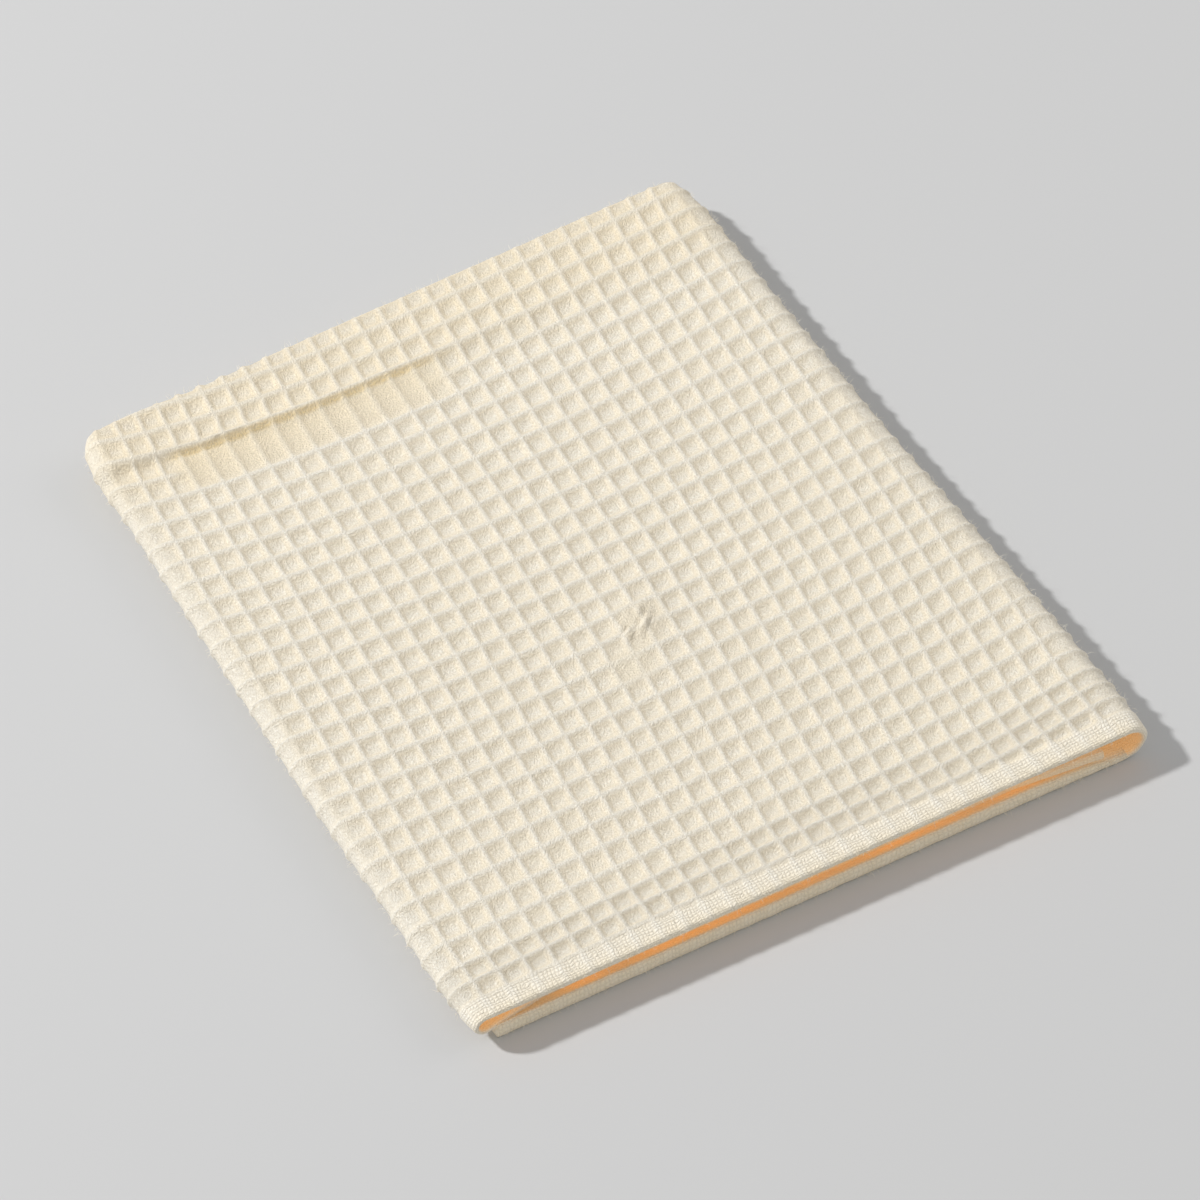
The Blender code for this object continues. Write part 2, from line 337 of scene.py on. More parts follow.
def place(a, b, height):
    """Points of the cloth from places across it, along it and off its face, in metres."""
    y, share, added = section_point(a, b, height)
    x, z, nx, nz = path_point(a, y)
    offset = share * doubled_height(x, y) / 2 + added
    x = x + offset * nx
    z = np.maximum(z + offset * nz, 0.0)
    hem_shift = np.interp(a, HEM_AT, SET_BACK) * smooth((FRONT + SET_BACK_REACH - y) / SET_BACK_REACH)
    return np.stack([x + plan_shift(x, y), y + hem_shift + skew(x, y), z], axis=-1) + MODEL_SHIFT


# %% [markdown]
# The cells. Ridges along the cloth lie at whole column numbers and ridges across it at whole
# row numbers. In the real cloth these lines are not straight: they lean to the left as they
# come forward and the rows sag in the middle. That drift is one smooth surface for each
# direction, in powers of the column and row number, and the two rows at the hem are squeezed.

# %% Where the ridges lie
COLUMN_PITCH, ROW_PITCH = 6.35 * MM, 6.70 * MM
MIDDLE_ROW, LAST_ROW = 16, 30
SQUEEZED_ROWS, SQUEEZED_PITCH = 2, 4.8 * MM
FIRST_RIDGE = 3.5 * MM
# The drift is worked out up to this column, and fades out on the loops
DRIFT_LAST_COLUMN, DRIFT_FADED_BY, DRIFT_FADE = 14.5, 30, 12
# Half the columns and rows, for the powers
HALF_COLUMNS, HALF_ROWS = 14, 16
# How far single ridges wander, how slowly, how much quick unevenness is in it, and how many
# rows it takes to begin behind the hem
WANDER, WANDER_ACROSS_SEED, WANDER_ALONG_SEED = 0.20 * MM, 11, 21
SLOW_BUMPS, QUICK_SHARE, STEADY_ROWS = 0.4, 0.4, 3
# Power of the column number, power of the row number, drift in mm. The drifts were fitted to
# the ridge lines in the photograph.
DRIFT_X = [(0, 0, -1.41), (0, 1, 6.27), (0, 2, -5.23), (0, 3, 1.50), (0, 4, 4.60),
           (1, 0, -2.23), (1, 1, 5.60), (1, 2, -0.61), (1, 3, 0.64), (2, 0, 1.18),
           (2, 1, 1.74), (2, 2, 3.13), (3, 0, -0.35), (3, 1, -4.13), (4, 0, -0.57)]
DRIFT_Y = [(0, 0, 4.53), (0, 1, -3.49), (0, 2, 3.76), (0, 3, 3.05), (0, 4, 1.19),
           (1, 0, 0.18), (1, 1, 4.16), (1, 2, 2.21), (1, 3, -1.87), (2, 0, 3.45),
           (2, 1, 3.14), (2, 2, -1.42), (3, 0, -0.66), (3, 1, -2.81), (4, 0, 1.31)]


def drift(terms, u, row):
    """How far a crossing lies from its place in an even grid."""
    s = np.clip(u, -DRIFT_LAST_COLUMN, DRIFT_LAST_COLUMN) / HALF_COLUMNS
    t = (np.clip(row, SQUEEZED_ROWS, LAST_ROW) - MIDDLE_ROW) / HALF_ROWS
    return sum(amount * s**i * t**j for i, j, amount in terms) * MM


def wander(u, row, seed):
    """Slow and quick unevenness of the ridges, about 1 at most."""
    slow = noise(u * SLOW_BUMPS, row * SLOW_BUMPS, seed)
    return slow + QUICK_SHARE * noise(u, row, seed + 1)


def lines_of(u, row):
    """Distance across and distance along the cloth of a column and a row number."""
    on_top = smooth((DRIFT_FADED_BY - np.abs(u)) / DRIFT_FADE)
    x = COLUMN_PITCH * u + drift(DRIFT_X, u, row) * on_top
    whole = np.maximum(row, SQUEEZED_ROWS)
    y = ROW_PITCH * (whole - MIDDLE_ROW) + drift(DRIFT_Y, u, row)
    y = y - SQUEEZED_PITCH * (whole - row)
    y = unskew(np.clip(x, LEFT, RIGHT), y)
    past_hem = smooth(row / STEADY_ROWS)
    a = x - plan_shift(np.clip(x, LEFT, RIGHT), y) + WANDER * wander(u, row, WANDER_ACROSS_SEED) * on_top
    b = y - FRONT - LIP + WANDER * wander(u, row, WANDER_ALONG_SEED) * past_hem
    return a, np.where(row <= 0, np.maximum(b, FIRST_RIDGE), b)


# %% [markdown]
# The relief of a cell is a square well: a pale ridge with a flat top, a sloping wall on each
# side and a flat floor. The walls across the cloth are steeper than those along it, because
# the yarns that make them float over a different number of threads. On the side loops the
# cloth is stretched round the bend, so mostly the ridges that run round the bend are left.

# %% Relief of the cells
CELL_DEPTH, RIDGE_PROUD, DEEPEST = 1.20 * MM, 0.15 * MM, 1.24 * MM
# Where a wall starts and how wide it is, as shares of half a cell, across and along
WALL_U, WALL_V, WALL_LOOP = (0.09, 0.42), (0.09, 0.62), (0.06, 0.30)
# The plain hem: how much of it shows, how softly the cells begin, and its faint lines
HEM_SHOWN, HEM_FADE, HEM_LINES = 3.4 * MM, 2.4 * MM, 0.14
# The loops: where the stretched cloth begins, how stretched it is, and its relief
LOOP_FROM, LOOP_FADE, LOOP_STRETCHED, LOOP_RELIEF = 2 * MM, 5 * MM, 0.8, 0.46
FAR_FROM, FAR_FADE, FAR_RELIEF = 5 * MM, 7 * MM, 0.50
# How full the cells are: on average, how much single cells differ and how much stretches of cloth
FULLNESS, CELL_UNEVEN, STRETCH_UNEVEN = 0.97, 0.07, 0.08
CELL_STRIDE, CELL_SEED = (3.7, 2.9), 31
STRETCH_BUMPS, STRETCH_SEED = 0.23, 32
# Small lumps of the yarn: bumps to a cell, height and seed
LUMPS = [(2.3, 0.05 * MM, 33), (6.1, 0.03 * MM, 34)]


def wall(line, start, wide):
    """0 on the flat top of a ridge and 1 on the floor of a cell, for one direction."""
    return np.clip((2 * np.abs(line - np.round(line)) - start) / wide, 0, 1)


def bowl(u, v):
    """0 on a ridge and 1 on the floor of a cell."""
    return np.minimum(wall(u, *WALL_U), wall(v, *WALL_V))


def cell_fullness(u, v):
    """How deep a cell is for its kind: each one differs, and so does each stretch of cloth."""
    single = noise(np.floor(u) * CELL_STRIDE[0], np.floor(v) * CELL_STRIDE[1], CELL_SEED)
    stretch = noise(u * STRETCH_BUMPS, v * STRETCH_BUMPS, STRETCH_SEED)
    return FULLNESS + CELL_UNEVEN * single + STRETCH_UNEVEN * stretch


# %% [markdown]
# Some places differ from the even weave. Before the crease one cross ridge is pressed flat, a
# thin groove follows it, and the next ridge stands up as a thin cord. In the middle the cloth
# has short creases, such as a finger leaves that pinches it, and half-closed cells beside them.

# %% The crease, the finger creases and the pressed cells
FLAT_RIDGE_ROW = 26
FLAT_FROM_COLUMN, FLAT_TO_COLUMN = -11.8, 1.0
FLAT_FADE_LEFT, FLAT_FADE_RIGHT, FLAT_SHARP = 1.0, 2.5, 2.2
FLAT_DEPTH, FLAT_LINES = 0.2, 0.45
# rows past the flattened ridge, half width in rows, and height or depth
CORD_AT, CORD_WIDE, CORD_HEIGHT = 1.0, 0.07, 0.22 * MM
GROOVE_AT, GROOVE_WIDE, GROOVE_DEPTH = 0.87, 0.06, 0.40 * MM

# Finger creases: x, y, x, y in mm, their half width in mm, height and how soon they begin and end
PINCHES = [(-2.2, -25.0, 7.8, -16.2), (-4.4, -23.6, 5.6, -14.8), (-3.9, -20.6, 2.2, -15.2)]
PINCH_WIDE, PINCH_HEIGHT, PINCH_ENDS = 0.55, 1.0 * MM, 4

# Pressed places in mm, their reach, where it ends as a share of that, and how far and how flat
# the cells are closed
PRESSED, PRESSED_REACH, PRESSED_OUT_TO = [(2, -20), (-6, -30)], 5.5 * MM, 1.5
PRESSED_SHARE, PRESSED_LINES, PRESSED_DEPTH = 0.75, 0.35, 0.25


def line_bump(v, row, wide):
    """1 along a line at one row number, falling off softly to both sides."""
    return np.exp(-(((v - row) / wide) ** 2))


def pinch(x, y):
    """Raised lines of the finger creases."""
    total = np.zeros_like(x)
    for x0, y0, x1, y1 in PINCHES:
        dx, dy = x1 - x0, y1 - y0
        t = np.clip(((x / MM - x0) * dx + (y / MM - y0) * dy) / (dx * dx + dy * dy), 0, 1)
        away = np.hypot(x / MM - x0 - t * dx, y / MM - y0 - t * dy)
        ends = smooth(PINCH_ENDS * t), smooth(PINCH_ENDS - PINCH_ENDS * t)
        total = total + np.exp(-((away / PINCH_WIDE) ** 2)) * ends[0] * ends[1]
    return total


def pressed(depth, x, y):
    """The depth of the cells, closed in part at the pressed places."""
    for pressed_x, pressed_y in PRESSED:
        away = np.hypot(x - pressed_x * MM, y - pressed_y * MM) / PRESSED_REACH
        closed = PRESSED_LINES * depth + PRESSED_DEPTH
        depth = mix(depth, closed, PRESSED_SHARE * smooth(PRESSED_OUT_TO - away))
    return depth


# %% [markdown]
# All of it together gives the height of each point off the face. The same numbers also give its
# painted warm shade: the cell walls are painted warmer and darker, most of all in the groove and
# in the band at the far fold, standing for light that bounces from wall to wall.

# %% Height and painted warm shade of each point
# Painted warm shade: how much the cell walls, floors, groove and pressed ridge get, then the far band,
# from where and over what length, and shares on the loops and on the back
WARM_WALL, WARM_FLOOR, WARM_GROOVE, WARM_FLAT, WARM_FAR = 2.8, 0.08, 2.2, 0.2, 0.35
WARM_FAR_FROM, WARM_FAR_REACH = 165 * MM, 20 * MM
WARM_ON_LOOP, WARM_BACK = 0.5, 0.5


def relief(u, v, a, b):
    """Height off the face, the painted warm shade of each point, and where the hem is."""
    columns_only = wall(u, *WALL_U)
    creased = smooth((u - FLAT_FROM_COLUMN) / FLAT_FADE_LEFT)
    creased = creased * smooth((FLAT_TO_COLUMN - u) / FLAT_FADE_RIGHT)
    flat = creased * smooth(FLAT_SHARP - FLAT_SHARP * np.abs(v - FLAT_RIDGE_ROW))
    depth = mix(bowl(u, v), FLAT_LINES * columns_only + FLAT_DEPTH, flat)
    x, y = a, FRONT + LIP + b
    depth = pressed(depth, x, y)
    on_rows = smooth((b - HEM_SHOWN) / HEM_FADE)
    on_left, on_right = TOP_START + LOOP_FROM - a, a - TOP_END + LOOP_FROM
    on_loop = np.clip(smooth(on_left / LOOP_FADE) + smooth(on_right / LOOP_FADE), 0, 1)
    depth = mix(depth, wall(v, *WALL_LOOP), LOOP_STRETCHED * on_loop)
    depth = mix(columns_only * HEM_LINES, depth * cell_fullness(u, v), on_rows)
    at_far = smooth((b - FACE_LENGTH + FAR_FROM) / FAR_FADE)
    lift = mix(1.0, LOOP_RELIEF, on_loop) * mix(1.0, FAR_RELIEF, at_far)
    height = (RIDGE_PROUD * on_rows - CELL_DEPTH * depth) * lift + PINCH_HEIGHT * pinch(x, y)
    for bumps, size, seed in LUMPS:
        height = height + size * noise(u * bumps, v * bumps, seed)
    cord = creased * line_bump(v, FLAT_RIDGE_ROW + CORD_AT, CORD_WIDE)
    groove = creased * line_bump(v, FLAT_RIDGE_ROW + GROOVE_AT, GROOVE_WIDE)
    height = height + CORD_HEIGHT * cord - GROOVE_DEPTH * groove
    # Painted warm shade: the cell walls, floors, groove, pressed ridge and far band are painted warmer
    # and darker
    on_wall = WARM_WALL * depth * (1 - np.minimum(depth, 1)) * mix(1.0, WARM_ON_LOOP, on_loop)
    painted_warm_shade = WARM_FLOOR * depth + on_wall + WARM_GROOVE * groove + WARM_FLAT * flat
    painted_warm_shade = painted_warm_shade + WARM_FAR * smooth((b - WARM_FAR_FROM) / WARM_FAR_REACH)
    return np.maximum(height, -DEEPEST), painted_warm_shade, 1 - on_rows


# %% [markdown]
# A sheet is made as two grids, its face with every cell and its plain back, with far fewer
# points because it only shows between the layers. The rims between them close the sheet. Each
# cell has eight steps each way, closer together at its ridges. The lines are close together
# round the far fold and at the crease too, and far apart where the cloth is only flat.

# %% Grid lines of a sheet
STEPS = (0.0, 0.08, 0.18, 0.31, 0.5, 0.69, 0.82, 0.92)
COARSE_STEPS = (0.0, 0.12, 0.35, 0.65, 0.88)
PLAIN_STEPS = (0.0, 0.5)
# Lines on the hem's back, its lip and its face, fine or not
HEM_BACK_LINES, LIP_LINES, HEM_LINES_FINE, HEM_LINES_PLAIN = 4, 10, 16, 7
# Past the last row: shares of the way to the inner half's end, and lines in each, fine or not
FOLD_SHARES = (0, 0.045, 0.185, 1)
FOLD_LINES_FINE, FOLD_LINES_PLAIN = (16, 17, 11), (8, 5, 7)
# Row numbers that stand for the hem's back, its lip and its face
BACK_MARK, LIP_MARK, FACE_MARK = -3, -2, -1
# The back keeps every line of the last cells before the fold, so that it bends with the face
BACK_FINE_CELLS = 6
END_CLEAR, SAME_LINE = 0.03, 1e-6


def cell_lines(low, high, steps):
    """Places of the grid lines between two column or row numbers, ends included."""
    lines = [k + s for k in range(math.floor(low), math.ceil(high)) for s in steps]
    lines = [line for line in lines if low + END_CLEAR < line < high - END_CLEAR]
    return np.array([low] + lines + [high])


def even_lines(count):
    """Places from 0 up to, but not with, 1."""
    return np.linspace(0, 1, count + 1)[:-1]


def section_lines(steps, fine):
    """Row numbers from the hem's back to the inner end, where each part starts, and its shares."""
    hem_back, lip = even_lines(HEM_BACK_LINES), even_lines(LIP_LINES)
    hem = even_lines(HEM_LINES_FINE if fine else HEM_LINES_PLAIN)
    rows = cell_lines(0.0, LAST_ROW, steps)
    counts = FOLD_LINES_FINE if fine else FOLD_LINES_PLAIN
    inner = np.concatenate([np.linspace(low, high, count + 1)[1:]
                            for low, high, count in zip(FOLD_SHARES, FOLD_SHARES[1:], counts)])
    parts = [BACK_MARK + 0 * hem_back, LIP_MARK + 0 * lip, FACE_MARK + hem, rows, LAST_ROW + inner]
    starts = np.cumsum([0] + [len(part) for part in parts])
    return np.concatenate(parts), starts, (hem_back, lip, hem, inner)


def lines_behind(line, first, last, dense_from):
    """The lines that the back keeps: the ends, whole numbers, and all from one line on."""
    kept = [i for i in range(first + 1, last)
            if abs(line[i] - round(line[i])) < SAME_LINE or i > dense_from]
    return [first] + kept + [last]


# %% [markdown]
# Three masks go with each point: its painted warm shade, its painted glow in the hollow between
# the hems, where light would come through the cloth, and whether it is on the plain hem. The painted
# glow is strongest under the upper lip and dies out a finger's width behind the front edge.

# %% Make a sheet of cloth
BACK_DEPTH = 1.40 * MM
LEFT_SEAM, RIGHT_SEAM = -16.5, 17.5
# A straight end is blended in over this many columns
END_BLEND = 8
# The relief fades out over the last part of the far fold, which lies under the stack
FOLD_SHOWN, FOLD_FADE = 0.8 * FOLD_LENGTH, 0.2 * FOLD_LENGTH
# Painted glow in the hollow: how deep it reaches, and how unevenly it shines
GLOW_REACH, GLOW_EVEN, GLOW_UNEVEN = 17 * MM, 0.74, 0.26
GLOW_BUMPS, GLOW_PLACE, GLOW_SEED = 0.7, (40, 3), 35
# from where on the lip, and over what length: under the top, and on the flaps
GLOW_UNDER_TOP, GLOW_ON_FLAPS = (0.45 * LIP_LENGTH, 1.7 * MM), (0.9 * LIP_LENGTH, 2.6 * MM)
# and on the middle flap's face: how far back, over what length, and how it begins at its ends
GLOW_ON_FACE, GLOW_FACE_FADE, GLOW_AT_END, GLOW_END_FADE, GLOW_SEAM_FADE = 8 * MM, 6 * MM, 0.3, 4, 1.5
# The lips get painted warm shade too, more so on the flaps
LIP_PAINTED_SHADE_TOP, LIP_PAINTED_SHADE_FLAPS, LIP_WARM_FROM, LIP_WARM_REACH = 0.35, 0.9, 2.5 * MM, 3 * MM


def glow_mask(b, u, fine, hollow):
    """1 where a glow is painted, in the hollow where light comes through the cloth."""
    glow_from, glow_reach = GLOW_UNDER_TOP if fine else GLOW_ON_FLAPS
    painted_glow = smooth((-b - glow_from) / glow_reach) + smooth((b - FACE_LENGTH - FOLD_LENGTH) / MM)
    if hollow:
        shown = mix(GLOW_AT_END, 1.0, smooth((u - u[0, 0]) / GLOW_END_FADE))
        shown = shown * smooth((LEFT_SEAM - u) / GLOW_SEAM_FADE)
        painted_glow = np.maximum(painted_glow, smooth((GLOW_ON_FACE - b) / GLOW_FACE_FADE) * shown)
    return painted_glow


def near_front_mask(a, b, u):
    """1 at the front edge and 0 behind the reach of the painted glow, a little uneven."""
    y, _, _ = section_point(a, b, 0 * b)
    return smooth(1 - (y - FRONT) / GLOW_REACH) * (
        GLOW_EVEN + GLOW_UNEVEN * noise(u * GLOW_BUMPS + GLOW_PLACE[0], 0 * u + GLOW_PLACE[1],
                                        GLOW_SEED))


def make_sheet(name, u_low, u_high, steps, ends=(None, None), fine=False, hollow=False):
    """One closed sheet of cloth between two column numbers, or straight ends across it."""
    u_line = cell_lines(u_low, u_high, steps)
    v_line, at, (hem_back, lip, hem, inner) = section_lines(steps, fine)
    u, v = np.meshgrid(u_line, v_line, indexing="ij")
    a, b = lines_of(u, np.clip(v, 0, LAST_ROW))
    for end, side in ((ends[0], 0), (ends[1], -1)):
        if end is not None:
            away = np.abs(u - u[side, 0])
            a = mix(a, end + COLUMN_PITCH * (u - u[side, 0]), smooth(1 - away / END_BLEND))
    first, last = b[:, [at[3]]], b[:, [-1]]
    b[:, at[0]:at[1]] = mix(ALONG_START, -LIP_LENGTH, hem_back)
    b[:, at[1]:at[2]] = mix(-LIP_LENGTH, 0.0, lip)
    b[:, at[2]:at[3]] = first * hem
    b[:, at[4]:at[5]] = mix(last, ALONG_END, inner)
    v = np.where(b < first, (b - first) / SQUEEZED_PITCH, v)
    height, painted_warm_shade, hem_mask = relief(u, v, a, b)
    shown = smooth((FACE_LENGTH + FOLD_SHOWN - b) / FOLD_FADE)
    shown = shown * smooth((b + LIP_LENGTH) / LIP_LENGTH)
    face = place(a, b, height * shown)
    back_rows = lines_behind(v_line, at[3], len(v_line) - 1, at[4] - BACK_FINE_CELLS * len(steps))
    back_columns = lines_behind(u_line, 0, len(u_line) - 1, len(u_line))
    pick = np.ix_(back_columns, back_rows)
    back = place(a[pick], b[pick], np.full((len(back_columns), len(back_rows)), -BACK_DEPTH))
    near_front = near_front_mask(a, b, u)
    # Painted warm shade on the lips, more on the flaps, and an even share on the back
    lip_painted_shade = LIP_PAINTED_SHADE_TOP if fine else LIP_PAINTED_SHADE_FLAPS
    painted_warm_shade = painted_warm_shade + lip_painted_shade * smooth((LIP_WARM_FROM - b) / LIP_WARM_REACH)
    masks = (("painted_warm_shade", painted_warm_shade, WARM_BACK + 0 * b[pick]),
             # painted glow in the hollow between the hems
             ("painted_glow", glow_mask(b, u, fine, hollow) * near_front, near_front[pick]),
             ("hem", hem_mask, 0 * b[pick]))
    return sheet_object(name, face, back, back_columns, back_rows, u, v, masks)


SHARP_ANGLE = math.radians(75)


def sheet_object(name, face, back, back_columns, back_rows, u, v, masks):
    """Join the face, the back and the rims into one closed mesh object."""
    rows, columns = face.shape[:2]
    index = np.arange(rows * columns).reshape(rows, columns)
    back_index = rows * columns + np.arange(back.shape[0] * back.shape[1]).reshape(back.shape[:2])
    faces = np.stack([index[:-1, :-1], index[1:, :-1], index[1:, 1:], index[:-1, 1:]], -1)
    faces = faces.reshape(-1, 4).tolist()
    under = np.stack([back_index[:-1, :-1], back_index[:-1, 1:], back_index[1:, 1:],
                      back_index[1:, :-1]], -1)
    faces += under.reshape(-1, 4).tolist()
    for side, back_side, turn in ((0, 0, 1), (rows - 1, -1, -1)):
        line, back_line = index[side], back_index[back_side]
        rim = [list(line[: back_rows[0] + 1]) + [back_line[0]]]
        for k in range(len(back_rows) - 1):
            rim.append(list(line[back_rows[k]: back_rows[k + 1] + 1]) + [back_line[k + 1], back_line[k]])
        faces += [[int(i) for i in ring[::turn]] for ring in rim]
    for side, back_side, turn in ((0, 0, -1), (columns - 1, -1, 1)):
        line, back_line = index[:, side], back_index[:, back_side]
        for k in range(len(back_columns) - 1):
            ring = list(line[back_columns[k]: back_columns[k + 1] + 1])
            ring += [back_line[k + 1], back_line[k]]
            faces.append([int(i) for i in ring[::turn]])
    mesh = bpy.data.meshes.new(name)
    points = np.concatenate([face.reshape(-1, 3), back.reshape(-1, 3)])
    mesh.from_pydata(points.tolist(), [], faces)
    cells = np.stack([u, v], -1)
    uv = np.concatenate([cells.reshape(-1, 2), cells[np.ix_(back_columns, back_rows)].reshape(-1, 2)])
    layer = mesh.uv_layers.new(name="cells")
    corner = np.zeros(len(mesh.loops), dtype=np.int32)
    mesh.loops.foreach_get("vertex_index", corner)
    layer.data.foreach_set("uv", uv[corner].astype(np.float32).ravel())
    for label, values, rest in masks:
        attribute = mesh.attributes.new(label, "FLOAT", "POINT")
        attribute.data.foreach_set("value", np.concatenate(
            [values.ravel(), rest.ravel()]).astype(np.float32))
    mesh.validate()
    mesh.update()
    piece = bpy.data.objects.new(name, mesh)
    bpy.context.scene.collection.objects.link(piece)
    mesh.shade_smooth()
    mesh.set_sharp_from_angle(angle=SHARP_ANGLE)
    triangles = sum(len(polygon.vertices) - 2 for polygon in mesh.polygons)
    print(f"{name}: {len(mesh.vertices)} points, {triangles} triangles")
    return piece


# %% [markdown]
# The cloth is one sheet. It is laid out here as three pieces that meet under the stack, where
# the side loops end, so that the part on show can have the finest relief.

# %% The three pieces of the cloth
bpy.ops.object.select_all(action="DESELECT")
BOTTOM_LAST = BOTTOM_END / COLUMN_PITCH
MIDDLE_LAST = MIDDLE_END / COLUMN_PITCH
top = make_sheet("cloth_top", LEFT_SEAM, RIGHT_SEAM, STEPS, fine=True)
bottom_flap = make_sheet("cloth_bottom_flap", RIGHT_SEAM, BOTTOM_LAST, COARSE_STEPS,
                         ends=(None, BOTTOM_END))
middle_flap = make_sheet("cloth_middle_flap", MIDDLE_LAST, LEFT_SEAM, PLAIN_STEPS,
                         ends=(MIDDLE_END, None), hollow=True)
CLOTH = [top, bottom_flap, middle_flap]

# %% [markdown]
# A few loose fibres stand up from any cotton cloth, and show against the light at its edges.
# Each is a thin three-sided spike, bent a little, and all of them are one mesh.

# %% Loose fibres
FIBRE_RADIUS, FIBRE_SEED = 0.04 * MM, 7
# place, distance across (from, to), distance along (from, to), how many
FIBRE_ZONES = [
    ("left loop", (TOP_START - 0.8 * LEFT_LOOP, TOP_START), (0, FACE_LENGTH), 500),
    ("right loop", (TOP_END - 3 * MM, TOP_END + 0.6 * RIGHT_LOOP), (0, FACE_LENGTH), 900),
    ("far fold", (TOP_START, TOP_END), (FACE_LENGTH - 3 * MM, FACE_LENGTH + 0.5 * FOLD_LENGTH), 500),
    ("upper hem", (TOP_START, TOP_END), (-0.8 * LIP_LENGTH, 3 * MM), 500),
    ("lower hem", (BOTTOM_START, BOTTOM_END), (-LIP_LENGTH, 0.2 * MM), 700),
    ("face", (TOP_START, TOP_END), (3 * MM, FACE_LENGTH), 200),
]
# A fibre is rooted just under the face and stands up to this far off it
FIBRE_ROOT, FIBRE_TOP = -0.05 * MM, 0.95 * MM
FIBRE_LENGTH, FIBRE_RISE, FIBRE_LEAN, FIBRE_BEND = (0.5, 1.4), (0.3, 1.0), 0.42 * MM, 0.18
# Where its two rings of three points lie along it, and how thick it is there
FIBRE_RINGS = ((0.0, 1.0), (0.55, 0.8))
FIBRE_POINTS = 7
FIBRE_LOWEST = 0.02 * MM


def fibre_roots(random):
    """Where each loose fibre starts, and the way from there to its tip."""
    roots, ways = [], []
    for zone, across_range, along_range, count in FIBRE_ZONES:
        a, b = random.uniform(*across_range, count), random.uniform(*along_range, count)
        root = place(a, b, np.full(count, FIBRE_ROOT))
        out = place(a, b, np.full(count, FIBRE_TOP)) - root
        length = random.uniform(*FIBRE_LENGTH, (count, 1))
        sideways = random.normal(0, FIBRE_LEAN, (count, 3))
        roots.append(root)
        ways.append((out * random.uniform(*FIBRE_RISE, (count, 1)) + sideways) * length)
        print(f"{count} fibres on the {zone}")
    return np.concatenate(roots), np.concatenate(ways)


def loose_fibres():
    """One mesh of all the loose fibres."""
    random = np.random.default_rng(FIBRE_SEED)
    root, way = fibre_roots(random)
    length = np.linalg.norm(way, axis=1, keepdims=True)
    side = np.cross(way, random.normal(0, 1, way.shape))
    side /= np.linalg.norm(side, axis=1, keepdims=True)
    other = np.cross(way / length, side)
    bend = random.normal(0, FIBRE_BEND, way.shape) * length
    points = []
    for share, thickness in FIBRE_RINGS:
        middle = root + way * share + bend * share
        for k in range(3):
            turn = 2 * math.pi * k / 3
            out = math.cos(turn) * side + math.sin(turn) * other
            points.append(middle + FIBRE_RADIUS * thickness * out)
    points.append(root + way)
    points = np.stack(points, 1)
    points[..., 2] = np.maximum(points[..., 2], FIBRE_LOWEST)
    shape = [(2, 1, 0)] + [(k, (k + 1) % 3, 3 + (k + 1) % 3, 3 + k) for k in range(3)]
    shape += [(3 + k, 3 + (k + 1) % 3, 6) for k in range(3)]
    faces = [tuple(FIBRE_POINTS * i + corner for corner in face)
             for i in range(len(points)) for face in shape]
    mesh = bpy.data.meshes.new("cloth_fibres")
    mesh.from_pydata(points.reshape(-1, 3).tolist(), [], faces)
    mesh.update()
    piece = bpy.data.objects.new("cloth_fibres", mesh)
    bpy.context.scene.collection.objects.link(piece)
    print(f"{len(points)} loose fibres in all")
    return piece


fibres = loose_fibres()

# %% [markdown]
# The finish. Undyed cotton is matt and slightly warm. Its cell walls are painted warmer and darker
# than its ridges, as painted shade for light that bounces about in a cell. The yarn is drawn by a
# node group from the cloth's own coordinates: mottled yarn in both directions in the cells, and the
# dots of a plain weave, six or seven pairs of threads to a cell, on the hem. The low places of the
# yarn are painted darker, partly random mottling and partly painted shade between the threads.

# %% Node group: cotton yarn
def math_node(tree, operation, first, second=None, clamp=False):
    """A Math node whose inputs are links or numbers. Returns its output."""
    node = tree.nodes.new("ShaderNodeMath")
    node.operation, node.use_clamp = operation, clamp
    for socket, value in zip(node.inputs, (first, second)):
        if value is None:
            continue
        if isinstance(value, (int, float)):
            socket.default_value = value
        else:
            tree.links.new(value, socket)
    return node.outputs[0]


def stretched_noise(tree, vector, stretch, detail):
    """Noise that is drawn out along one direction of the cloth, like a yarn."""
    scaled = tree.nodes.new("ShaderNodeVectorMath")
    scaled.operation = "MULTIPLY"
    tree.links.new(vector, scaled.inputs[0])
    scaled.inputs[1].default_value = stretch
    texture = tree.nodes.new("ShaderNodeTexNoise")
    texture.inputs["Scale"].default_value = 1.0
    texture.inputs["Detail"].default_value = detail
    tree.links.new(scaled.outputs[0], texture.inputs["Vector"])
    return texture.outputs["Fac"]


# Stretch of the mottled yarn along and across, the level it starts from and its contrast
YARN_STRETCH, YARN_FROM, YARN_CONTRAST = (19.0, 9.0), 0.40, 3.8
# How far the threads of the plain weave slip, how sharp its dots are, and their share
SLIP_STRETCH, THREAD_SLIP, DOT_POWER, DOT_SHARE = 2.6, 0.25, 0.7, 0.75


